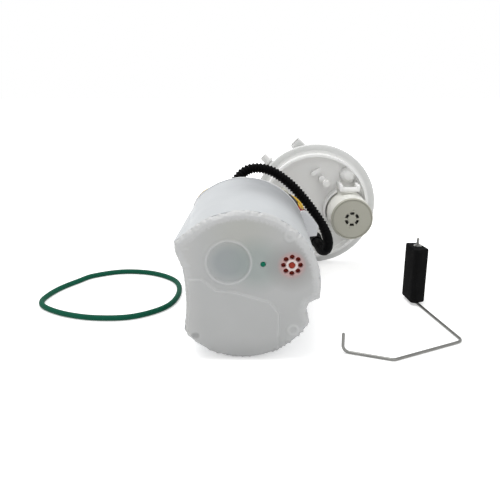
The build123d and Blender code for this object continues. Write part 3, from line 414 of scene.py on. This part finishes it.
def face_tone(tree):
    """Milky bottom plate: painted bluish shade where it is thin over the inlet and the jet, painted shade
    towards the bottom, painted pink glow round the valve and painted highlights on its rings and raised
    lines.
    """
    place = object_axes(tree)
    # painted shade darkens the face towards the bottom
    colour = tint(tree, FACE_GREY, ramp(tree, place["Z"], *LOW_Z), LOW_SHARE, FACE_PAINTED_SHADE)
    colour = tint(tree, colour, ramp(tree, place["X"], *LEFT_X), LEFT_SHARE, FACE_PALE)
    # round patches: painted shade over the recess, the jet, the pocket and the valve seat, and painted glow
    # round the valve
    for x, z, radius, softness, share, shade in FACE_PATCHES:
        colour = tint(tree, colour, disc(tree, x, z, radius, softness), share, shade)
    # painted highlights on the ring ridge and on the bosses
    for x, z, radius, half, share in FACE_RING_HIGHLIGHTS:
        outer = disc(tree, x, z, radius + half, FACE_RING_HIGHLIGHT_SOFTNESS)
        inner = disc(tree, x, z, radius - half, FACE_RING_HIGHLIGHT_SOFTNESS)
        band = maths(tree, "SUBTRACT", outer, inner, clamp=True)
        colour = tint(tree, colour, band, share, PALE_WELD_AND_HIGHLIGHT)
    swing = maths(tree, "SUBTRACT", noise_value(tree, 520, 3), 0.5)
    edge = maths(tree, "ADD", stored(tree, "rim"), maths(tree, "MULTIPLY", swing, RIM_RAGGED))
    upper = ramp(tree, place["Z"], *RIM_UPPER_Z)
    right = maths(tree, "MULTIPLY", ramp(tree, place["X"], *RIM_RIGHT_X), RIM_RIGHT_SHARE)
    where = maths(tree, "ADD", upper, right, clamp=True)
    colour = tint(tree, colour, ramp(tree, edge, *RIM_REACH), where, PALE_WELD_AND_HIGHLIGHT)
    # painted highlight on the raised lines
    return tint(tree, colour, stored(tree, "ridge"), RIDGE_HIGHLIGHT_SHARE, PALE_WELD_AND_HIGHLIGHT)


FLANGE_WHITE = (0.77, 0.77, 0.76)
# painted shade on the outer rim, which is turned away from the light
FLANGE_RIM_SHADE = (0.61, 0.615, 0.605)
# painted light that lifts the shadow on the wall of the recess
FLANGE_WALL_LIGHT = (0.95, 0.95, 0.94)
# its centre, then radius and softness (mm) of the rim's inner edge and of both edges of the wall's band
FLANGE_CENTRE = (81.0, 64.2)
FLANGE_RIM_EDGE = (56.8, 2.0)
WALL_OUTER, WALL_INNER = (53.2, 0.6), (51.5, 1.2)


def flange_tone(tree):
    """White flange: painted shade greys the outer rim, turned away from the light, and painted light makes
    the wall of its recess paler where its shadow falls.
    """
    colour = mix(tree, disc(tree, *FLANGE_CENTRE, *FLANGE_RIM_EDGE), FLANGE_RIM_SHADE, FLANGE_WHITE)
    outer, inner = (disc(tree, *FLANGE_CENTRE, *edge) for edge in (WALL_OUTER, WALL_INNER))
    return mix(tree, maths(tree, "SUBTRACT", outer, inner, clamp=True), colour, FLANGE_WALL_LIGHT)


def subsurface(weight, radius):
    return dict(Subsurface_Weight=weight, Subsurface_Radius=radius, Subsurface_Scale=1.0)


MILKY_DEPTH = subsurface(0.25, (0.004, 0.004, 0.0045))
CLOUDY_DEPTH = subsurface(0.6, (0.008, 0.008, 0.008))
WHITE_DEPTH = subsurface(0.15, (0.003, 0.003, 0.003))


def plastics():
    moulded("milky wall", shell_tone, 0.38, 0.05, 0.25, 0.00005, **MILKY_DEPTH)
    moulded("milky face", face_tone, 0.42, 0.08, 0.3, 0.00006, **MILKY_DEPTH)
    moulded("milky lid", (0.60, 0.61, 0.62), 0.4, **MILKY_DEPTH)
    moulded("white plastic", (0.70, 0.70, 0.69), 0.5, 0.05, **WHITE_DEPTH)
    moulded("can plastic", (0.78, 0.78, 0.71), 0.5, 0.05, **CLOUDY_DEPTH)
    moulded("flange plastic", flange_tone, 0.5, 0.05, **CLOUDY_DEPTH)
    moulded("bright plastic", (0.84, 0.84, 0.83), 0.42, 0.05, **WHITE_DEPTH)
    moulded("beige plastic", (0.39, 0.385, 0.325), 0.5, 0.05)
    moulded("black plastic", (0.018, 0.018, 0.02), 0.42, 0.2)
    moulded("green plastic", (0.0, 0.13, 0.075), 0.5, 0.1, Specular_IOR_Level=0.15)
    moulded("yellow wire", (0.80, 0.50, 0.04), 0.35, 0.1)
    moulded("red wire", (0.50, 0.03, 0.03), 0.35, 0.1)
    moulded("black wire", (0.015, 0.015, 0.015), 0.35, 0.1)


def rubbers_and_foam():
    rubber("black rubber", (0.001, 0.001, 0.0012), (0.004, 0.004, 0.005), 0.3, 0.05)
    rubber("green rubber", (0.001, 0.070, 0.038), (0.005, 0.115, 0.070), 0.35, 0.12)
    rubber("red rubber", (0.26, 0.022, 0.016), (0.36, 0.075, 0.03), 0.5, 0.15)
    tree, into = new_material("black foam", Roughness=0.9, Specular_IOR_Level=0.06)
    foam = place_group(tree, "foam", Colour=(0.003, 0.003, 0.0033), Worn=(0.012, 0.012, 0.012))
    surface(tree, into, foam, 0.0002, 0.6)


def metals_and_others():
    metal("steel", (0.34, 0.34, 0.33), (0.16, 0.15, 0.14))
    metal("wire steel", (0.22, 0.22, 0.21), (0.09, 0.09, 0.085), 0.4)
    metal("brass", (0.72, 0.58, 0.30), (0.4, 0.3, 0.16))
    moulded("ferrite", (0.06, 0.06, 0.06), 0.6, 0.3, 0.8)
    moulded("carbon", (0.03, 0.03, 0.03), 0.6, 0.2)
    moulded("ceramic", (0.72, 0.70, 0.62), 0.4, 0.1)
    tree, into = new_material("strainer cloth", Roughness=0.85)
    surface(tree, into, place_group(tree, "weave", Colour=(0.8, 0.8, 0.76), Threads=5200.0), 0.0001)


plastics()
rubbers_and_foam()
metals_and_others()
# finishes whose name isn't the slot's own
FINISH_OF_SLOT = {
    "milky_plastic": "milky wall", "yellow_insulation": "yellow wire",
    "red_insulation": "red wire", "black_insulation": "black wire",
}
FINISH_OF_NODE = {
    "bottom_plate": "milky face", "reservoir_lid": "milky lid",
    "outlet_elbow": "bright plastic", "sender_housing": "bright plastic",
    "vent_body": "can plastic", "flange": "flange plastic",
}


def dress(piece, finish):
    piece.data.materials.clear()
    piece.data.materials.append(MATERIALS[finish])


def dress_cad_nodes():
    for part in frame["record"]["subparts"]:
        name, slot = part["node"], part["material_slot"]
        finish = FINISH_OF_SLOT.get(slot, slot.replace("_", " "))
        dress(NODES[name], FINISH_OF_NODE.get(name, finish))


# ---------------------------------------------------------------- modelling help
def in_scene(name, data):
    piece = bpy.data.objects.new(name, data)
    bpy.context.scene.collection.objects.link(piece)
    return piece


def shade_smooth(mesh):
    for polygon in mesh.polygons:
        polygon.use_smooth = True


def settle(piece, name, finish):
    """Names and dresses a finished piece and puts its place in its mesh."""
    piece.name = name
    piece.data.name = name
    piece.data.transform(piece.matrix_world)
    piece.matrix_world = Matrix.Identity(4)
    dress(piece, finish)


def route_points(name, route):
    """Points in metres along a smooth NURBS line that has the route's points as control points."""
    data = bpy.data.curves.new(name, "CURVE")
    data.dimensions = "3D"
    data.resolution_u = 24
    spline = data.splines.new("NURBS")
    spline.points.add(len(route) - 1)
    for target, (x, y, z) in zip(spline.points, route):
        target.co = (x * MM, y * MM, z * MM, 1.0)
    spline.order_u = 3
    spline.use_endpoint_u = True
    line = in_scene(name, data)
    made = bpy.data.meshes.new_from_object(line)
    points = [v.co.copy() for v in made.vertices]
    bpy.data.meshes.remove(made)
    bpy.data.objects.remove(line)
    return points


def even_points(points, step):
    """The same line, with points a step apart."""
    out, carried = [points[0].copy()], 0.0
    for a, b in zip(points, points[1:]):
        run = (b - a).length
        while carried + run >= step:
            share = (step - carried) / run
            a = a.lerp(b, share)
            out.append(a.copy())
            run = (b - a).length
            carried = 0.0
        carried += run
    if (out[-1] - points[-1]).length > step * 0.3:
        out.append(points[-1].copy())
    else:
        out[-1] = points[-1].copy()
    return out


def tube(name, centres, radii, sides, closed=False):
    """Tube of round rings about the centres, joined end to end or capped at both."""
    mesh = bmesh.new()
    rings = []
    count = len(centres)
    across = Vector((0.31, 0.17, 0.93))     # any direction that no tube starts along
    turns = [2 * pi * k / sides for k in range(sides)]
    for i, (c, r) in enumerate(zip(centres, radii)):
        after, before = ((i + 1) % count, i - 1) if closed else (min(i + 1, count - 1), max(i - 1, 0))
        ahead = (centres[after] - centres[before]).normalized()
        across = (across - ahead * across.dot(ahead)).normalized()
        side = ahead.cross(across)
        rings.append([mesh.verts.new(c + (across * cos(a) + side * sin(a)) * r) for a in turns])
    for low, high in zip(rings, rings[1:] + ([rings[0]] if closed else [])):
        for k in range(sides):
            mesh.faces.new((low[k], low[(k + 1) % sides], high[(k + 1) % sides], high[k]))
    if not closed:
        mesh.faces.new(rings[0][::-1])
        mesh.faces.new(rings[-1])
    bmesh.ops.recalc_face_normals(mesh, faces=mesh.faces)
    data = bpy.data.meshes.new(name)
    mesh.to_mesh(data)
    mesh.free()
    shade_smooth(data)
    return in_scene(name, data)


def merged_copy(node, name):
    """Copy of a CAD node's mesh with its loose triangles joined."""
    piece = in_scene(name, NODES[node].data.copy())
    made = bmesh.new()
    made.from_mesh(piece.data)
    bmesh.ops.remove_doubles(made, verts=made.verts, dist=0.00001)
    made.to_mesh(piece.data)
    made.free()
    shade_smooth(piece.data)
    return piece


# ---------------------------------------------------------------- hose and wires
HOSE_D, HOSE_SIDES = 10.0, 28
ELBOW = Vector((-24.0, 15.0, 74.0))
ELBOW_DIR = Vector((0.55, 0.35, 0.76)).normalized()
HOSE_ROUTE = [
    tuple(ELBOW + ELBOW_DIR * 23.0), tuple(ELBOW + ELBOW_DIR * 40.0),
    (10.0, 39.5, 115.0), (29.5, 44.0, 113.6), (48.3, 46.0, 100.8), (62.3, 47.0, 86.0),
    (74.6, 46.5, 70.2), (84.2, 44.0, 56.0), (88.5, 39.0, 44.5), (88.0, 36.5, 35.4),
    (83.4, 43.0, 31.0), (80.5, 53.0, 34.5), (80.5, 63.0, 34.5),
]
HOSE_PITCH = 3.25                # one rib and one groove
RINGS_PER_RIB = 8
HOSE_GROOVE = 1.2                # depth of a groove
GROOVE_STEEPNESS = 1.15          # over 1, so that each groove has a flat bottom
CUFF_LENGTH, CUFF_GROOVE = 4.0, 0.5     # smooth stretch at each end, and its share of a groove's depth
HOSE_FAINT, HOSE_FADE = 38.0, 20.0      # stretch with faint ribs before the flange, and the fade into it
FAINT_GROOVE = 0.12              # share of a groove's depth that is left there


def hose_radius(s, total):
    """Radius at s along the hose, in mm."""
    depth = HOSE_GROOVE * min(1.0, max(FAINT_GROOVE, (total - s - HOSE_FAINT) / HOSE_FADE))
    if min(s, total - s) < CUFF_LENGTH:
        return HOSE_D / 2 - depth * CUFF_GROOVE
    saw = abs((s / HOSE_PITCH) % 1.0 - 0.5) * 2
    return HOSE_D / 2 - depth * min(1.0, GROOVE_STEEPNESS * saw)


def fuel_hose():
    """Corrugated hose from the elbow over the lid and down to the flange."""
    step = HOSE_PITCH / RINGS_PER_RIB
    centres = even_points(route_points("hose line", HOSE_ROUTE), step * MM)
    total = (len(centres) - 1) * step
    radii = [hose_radius(i * step, total) * MM for i in range(len(centres))]
    hose = tube("corrugated_hose", centres, radii, HOSE_SIDES)
    settle(hose, "corrugated_hose", "black rubber")
    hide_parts("fuel_hose")
    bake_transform(hose)


WIRE_D, WIRE_SIDES = 2.0, 14
OVER_LID = [(-39.0, -5.0, 79.0), (-38.0, 5.0, 88.5), (-30.0, 10.5, 98.5), (-16.0, 13.0, 103.5),
            (4.0, 16.0, 105.0), (22.0, 21.0, 103.0)]
YELLOW_ASIDE = 3.2               # how far the yellow wire runs beside the black one over the lid
STARTS = {
    "sender_wire_black": [(-38.3, -16.0, 60.05), (-38.3, -16.0, 69.05)] + OVER_LID,
    "sender_wire_yellow": [(-38.3, -12.5, 60.05), (-38.3, -12.5, 69.05)]
                          + [(x, y + YELLOW_ASIDE, z) for x, y, z in OVER_LID],
    "pump_wire_red": [(30.0, 8.0, 55.0), (30.0, 17.0, 55.0), (39.0, 25.0, 56.0)],
    "pump_wire_black": [(30.0, 8.0, 58.4), (30.0, 17.0, 58.4), (39.0, 25.0, 59.4)],
}
TO_PLUG = {
    "sender_wire_black": [(38.0, 25.0, 97.0), (50.0, 30.0, 91.0), (57.5, 37.0, 81.0), (56.0, 50.0, 73.5)],
    "sender_wire_yellow": [(38.0, 29.0, 95.5), (52.0, 37.0, 88.5), (60.0, 37.5, 82.0), (64.0, 43.0, 73.5)],
    "pump_wire_red": [(56.0, 35.0, 62.0), (66.5, 46.0, 73.0), (64.0, 57.0, 69.0)],
    "pump_wire_black": [(48.8, 35.0, 63.2)],
}
PLUG_X, PLUG_Z, PLUG_Y0 = 58.4, 70.0, 80.0
PORTS = {
    "sender_wire_yellow": (PLUG_X + 3.6, PLUG_Z + 1.6), "sender_wire_black": (PLUG_X - 3.6, PLUG_Z + 1.6),
    "pump_wire_red": (PLUG_X + 3.6, PLUG_Z - 1.8), "pump_wire_black": (PLUG_X - 3.6, PLUG_Z - 1.8),
}


def wires():
    """Wires of the level sender and of the pump, from their starts to the plug's ports."""
    for name, (x, z) in PORTS.items():
        route = STARTS[name] + TO_PLUG[name] + [(x, 66.0, z), (x, PLUG_Y0, z)]
        centres = route_points(name + " line", route)
        colour = name.split("_")[-1]
        wire = tube(name + "_insulation", centres, [WIRE_D / 2 * MM] * len(centres), WIRE_SIDES)
        settle(wire, name + "_insulation", colour + " wire")
        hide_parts(name)
        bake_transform(wire)


# ----------------------------------------------------------------------- springs
# body that each spring rests on at its low and at its high end along Y
SPRING_SEATS = {
    "guide_spring_upper": ("reservoir", "flange"), "guide_spring_lower": ("reservoir", "flange"),
    "regulator_spring": ("regulator_valve", "reservoir"), "vent_spring": ("flange", "vent_float"),
}


def springs():
    """Steel copies of the springs, which press two pieces apart, each joined into one mesh in place of the
    CAD spring.
    """
    for node, (low_body, high_body) in SPRING_SEATS.items():
        spring = merged_copy(node, node + "_coil")
        settle(spring, node + "_coil", "steel")
        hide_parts(node)
        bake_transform(spring)


# ----------------------------------------------------------- softened mouldings
def fit_to_node(mesh, node):
    """Gives back what smoothing took from a copy: its box becomes the CAD node's box again."""
    low, high = (np.array(corner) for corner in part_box(node))
    place = np.array([v.co for v in mesh.vertices])
    least, most = place.min(axis=0), place.max(axis=0)
    place = low + (place - least) * (high - low) / (most - least)
    mesh.vertices.foreach_set("co", place.ravel())
    mesh.update()


def apply_all(piece):
    """Applies every modifier of a piece to its mesh."""
    graph = bpy.context.evaluated_depsgraph_get()
    made = bpy.data.meshes.new_from_object(piece.evaluated_get(graph))
    piece.modifiers.clear()
    piece.data = made


def softened(node, name, voxel, rounds, finish, body, shape=None):
    """Copy of a CAD node with its edges melted: one skin remeshed in small cells, then smoothed."""
    piece = merged_copy(node, name)
    remesh = piece.modifiers.new("cells", "REMESH")
    remesh.mode = "VOXEL"
    remesh.voxel_size = voxel
    relax = piece.modifiers.new("melted edges", "SMOOTH")
    relax.factor = 0.5
    relax.iterations = rounds
    apply_all(piece)
    fit_to_node(piece.data, node)
    if shape:
        shape(piece.data)
    shade_smooth(piece.data)
    settle(piece, name, finish)
    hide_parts(node)
    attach(piece, body)


def outline_segments(node, y):
    """Edges of a CAD node that lie wholly at height y along the module, as pairs of (x, z)."""
    mesh = NODES[node].data
    place = np.array([v.co for v in mesh.vertices])
    at = abs(place[:, 1] - y) < 0.00005
    pairs = [e.vertices[:] for e in mesh.edges if at[e.vertices[0]] and at[e.vertices[1]]]
    return place[np.array(pairs)][:, :, [0, 2]]


def distance_to(segments, points):
    """Distance of each point from the nearest segment."""
    best = np.full(len(points), 1.0)
    for a, b in segments:
        run = b - a
        share = np.clip(((points - a) @ run) / max(run @ run, 1e-12), 0, 1)
        best = np.minimum(best, np.linalg.norm(points - a - share[:, None] * run, axis=1))
    return best


def noise_at(places, scale):
    return np.array([noise.noise(Vector(p) * scale) for p in places])


OUTLINE_Y = 0.001                # how far the plate's outline lies in front of its back
# uneven weld along the outline: its width, its bumps and waves, and the higher flash at the lower right
WELD_W = 0.0045
BUMP, BUMP_SCALE = 0.0007, 420
WAVE, WAVE_SCALE = 0.0008, 150
FLASH, FLASH_X, FLASH_Z, FLASH_FADE = 0.0019, 0.026, 0.030, 0.008
# the weld's lap over the shell: where it starts, its width, its reach along the module and its rise
LAP_START, LAP_W, LAP, LAP_RISE = 0.0018, 0.003, 0.0022, 0.0006
# raised lines: half width and height (m), then their points on the face (mm)
RIDGE_W, RIDGE_H = 0.0010, 0.0004
PANEL_LINE = [
    (-30.6, 63.3), (-22.8, 63.3), (-12.3, 54.9), (1.3, 53.4), (26.4, 45.7), (33.0, 37.0), (33.0, 20.0),
]
TICKS = [
    ((-36.2, 85.6), (-32.0, 85.6)), ((-33.8, 73.1), (-31.0, 73.1)),
    ((58.0, 74.5), (61.5, 74.5)), ((57.6, 66.0), (61.0, 66.0)), ((57.0, 52.0), (60.5, 52.0)),
]


def share_of(values):
    return np.clip(values, 0, 1)


def weld_edge(mesh):
    """Shapes the weld along the outline and the raised lines, and stores where both are."""
    place = np.array([v.co for v in mesh.vertices])
    normals = np.array([v.normal for v in mesh.vertices])
    edge = distance_to(outline_segments("bottom_plate", PLATE_BACK - OUTLINE_Y), place[:, [0, 2]])
    near = share_of(1 - edge / WELD_W) * share_of((PLATE_BACK - place[:, 1]) / OUTLINE_Y)
    flash = share_of((place[:, 0] - FLASH_X) / FLASH_FADE) * share_of((FLASH_Z - place[:, 2]) / FLASH_FADE)
    bumps = noise_at(place, BUMP_SCALE) * (BUMP + FLASH * flash)
    place += normals * (near * (bumps + noise_at(place, WAVE_SCALE) * WAVE))[:, None]
    lap = share_of((place[:, 1] - PLATE_BACK) / LAP_START + 1) * share_of(1 - edge / LAP_W)
    place[:, 1] += LAP * lap
    place[:, [0, 2]] += normals[:, [0, 2]] * (LAP_RISE * lap)[:, None]
    lines = np.array(list(zip(PANEL_LINE, PANEL_LINE[1:])) + TICKS) * MM
    away = distance_to(lines, place[:, [0, 2]])
    ridge = np.exp(-(away / RIDGE_W) ** 2) * share_of(-normals[:, 1])
    place[:, 1] -= RIDGE_H * ridge
    mesh.vertices.foreach_set("co", place.ravel())
    for label, values in (("rim", edge), ("ridge", ridge)):
        mesh.attributes.new(label, "FLOAT", "POINT").data.foreach_set("value", values)


def melted_pieces():
    softened("bottom_plate", "welded_face", 0.0006, 3, "milky face", "reservoir", weld_edge)
    softened("arm_float", "foam_block", 0.0008, 6, "black foam", "arm_float")


# ----------------------------------------------------------- ring and float arm
RING_D, RING_SIDES = 4.9, 24
RING_STEPS = 14                  # points between two of the outline's
RING_OUTLINE = [
    (-55.0, 4.0), (-62.3, 36.6), (-87.2, 58.6), (-118.8, 63.9), (-146.4, 51.8), (-157.8, 36.8),
    (-169.6, 17.5), (-175.9, -1.0), (-177.0, -17.3), (-169.1, -31.0), (-147.3, -45.4),
    (-118.8, -53.4), (-87.5, -50.2), (-62.3, -28.6),
]


def seal_ring():
    """Smooth ring through the outline's points."""
    count = len(RING_OUTLINE)
    centres = []
    for i in range(count):
        a, b, c, d = (Vector((*RING_OUTLINE[(i + k) % count], RING_D / 2)) * MM for k in (-1, 0, 1, 2))
        for step in range(RING_STEPS):
            t = step / RING_STEPS
            centres.append(0.5 * (2 * b + (c - a) * t + (2 * a - 5 * b + 4 * c - d) * t**2
                                  + (3 * b - a - 3 * c + d) * t**3))
    ring = tube("green_seal", centres, [RING_D / 2 * MM] * len(centres), RING_SIDES, closed=True)
    settle(ring, "green_seal", "green rubber")
    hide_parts("seal_ring")
    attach(ring, "seal_ring")


ARM_R, ARM_END_R, ARM_SIDES = 1.2, 0.8, 16
ARM_ROUTE = [(82.2, -112.6, 16.3), (82.2, -112.6, 1.2), (118.0, -126.4, 1.2), (179.1, -95.0, 1.2),
             (162.0, -9.8, 1.2), (162.0, -9.8, 60.5)]
ARM_BENDS = [5.0, 5.0, 7.0, 5.0]
BEND_STEPS = 8


def bent_line(points, radii, step):
    """Straight runs joined by round bends, in metres."""
    points = [Vector(p) for p in points]
    line = [points[0]]
    for before, corner, after, radius in zip(points, points[1:], points[2:], radii):
        back, ahead = (before - corner).normalized(), (after - corner).normalized()
        half = back.angle(ahead) / 2
        middle = corner + (back + ahead).normalized() * (radius / sin(half))
        start = corner + back * (radius / tan(half))
        end = corner + ahead * (radius / tan(half))
        for i in range(BEND_STEPS + 1):
            spoke = (start - middle).lerp(end - middle, i / BEND_STEPS)
            line.append(middle + spoke.normalized() * radius)
    line.append(points[-1])
    return even_points([p * MM for p in line], step * MM)


def float_arm():
    centres = bent_line(ARM_ROUTE, ARM_BENDS, 1.0)
    radii = [ARM_R * MM] * len(centres)
    radii[0] = radii[-1] = ARM_END_R * MM
    arm = tube("bent_arm", centres, radii, ARM_SIDES)
    settle(arm, "bent_arm", "wire steel")
    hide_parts("arm_wire")
    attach(arm, "float_arm")


# ------------------------------------------------------------------------- stage
CAMERA_PLACE = (0.012, -0.523, 0.211)
CAMERA_PITCH = 17.5              # degrees down
CAMERA_LENS = 43.2
WORLD_LEVEL = 0.71               # what lights the object; the eye sees 1
FLOOR_GLOW, FLOOR_GLOW_FAR = 0.42, 0.70     # glow under the object, and what is added far from it
FLOOR_FADE = (0.2, 0.5)


def camera():
    data = bpy.data.cameras.new("camera")
    data.lens = CAMERA_LENS
    data.sensor_width = 36.0
    data.clip_start, data.clip_end = 0.01, 20
    cam = in_scene("camera", data)
    cam.location = CAMERA_PLACE
    cam.rotation_euler = (radians(90 - CAMERA_PITCH), 0, 0)
    bpy.context.scene.camera = cam


def seen_by_eye(tree):
    """1 for camera, mirror and glass rays."""
    path = tree.nodes.new("ShaderNodeLightPath").outputs
    seen = maths(tree, "ADD", path["Is Camera Ray"], path["Is Glossy Ray"])
    return maths(tree, "ADD", seen, path["Is Transmission Ray"], clamp=True)


def world():
    made = bpy.data.worlds.new("studio")
    made.use_nodes = True
    tree = made.node_tree
    background = tree.nodes["Background"]
    background.inputs["Color"].default_value = (1, 1, 1, 1)
    more = maths(tree, "MULTIPLY", seen_by_eye(tree), 1 - WORLD_LEVEL)
    link(tree, maths(tree, "ADD", more, WORLD_LEVEL), background.inputs["Strength"])
    bpy.context.scene.world = made


def floor():
    bpy.ops.mesh.primitive_plane_add(size=6, location=(0, 0, 0))
    ground = bpy.context.object
    ground.name = "floor"
    tree, into = new_material("pale floor", Base_Color=(0.86, 0.86, 0.86), Roughness=0.9,
                              Specular_IOR_Level=0.1, Emission_Color=(1, 1, 1))
    spread = tree.nodes.new("ShaderNodeVectorMath")
    spread.operation = "LENGTH"
    link(tree, object_vector(tree), spread.inputs[0])
    far = ramp(tree, spread.outputs["Value"], *FLOOR_FADE)
    level = maths(tree, "ADD", maths(tree, "MULTIPLY", far, FLOOR_GLOW_FAR), FLOOR_GLOW)
    link(tree, maths(tree, "MULTIPLY", seen_by_eye(tree), level), into["Emission Strength"])
    ground.data.materials.append(MATERIALS["pale floor"])


def lamp(name, place, aim, size, power):
    data = bpy.data.lights.new(name, "AREA")
    data.shape = "SQUARE"
    data.size = size
    data.energy = power
    light = in_scene(name, data)
    light.location = place
    light.rotation_euler = (Vector(aim) - Vector(place)).to_track_quat("-Z", "Y").to_euler()


# ------------------------------------------------------------------------- build
camera()
world()
lamp("key", (-0.20, 0.05, 1.0), (0, 0, 0.04), 0.8, 6.0)
lamp("fill", (0.5, -0.9, 0.7), (0, 0, 0.05), 0.9, 2.0)
floor()
dress_cad_nodes()
fuel_hose()
wires()
springs()
melted_pieces()
seal_ring()
float_arm()

scene = bpy.context.scene
scene.view_settings.view_transform = "Standard"
bpy.context.view_layer.update()
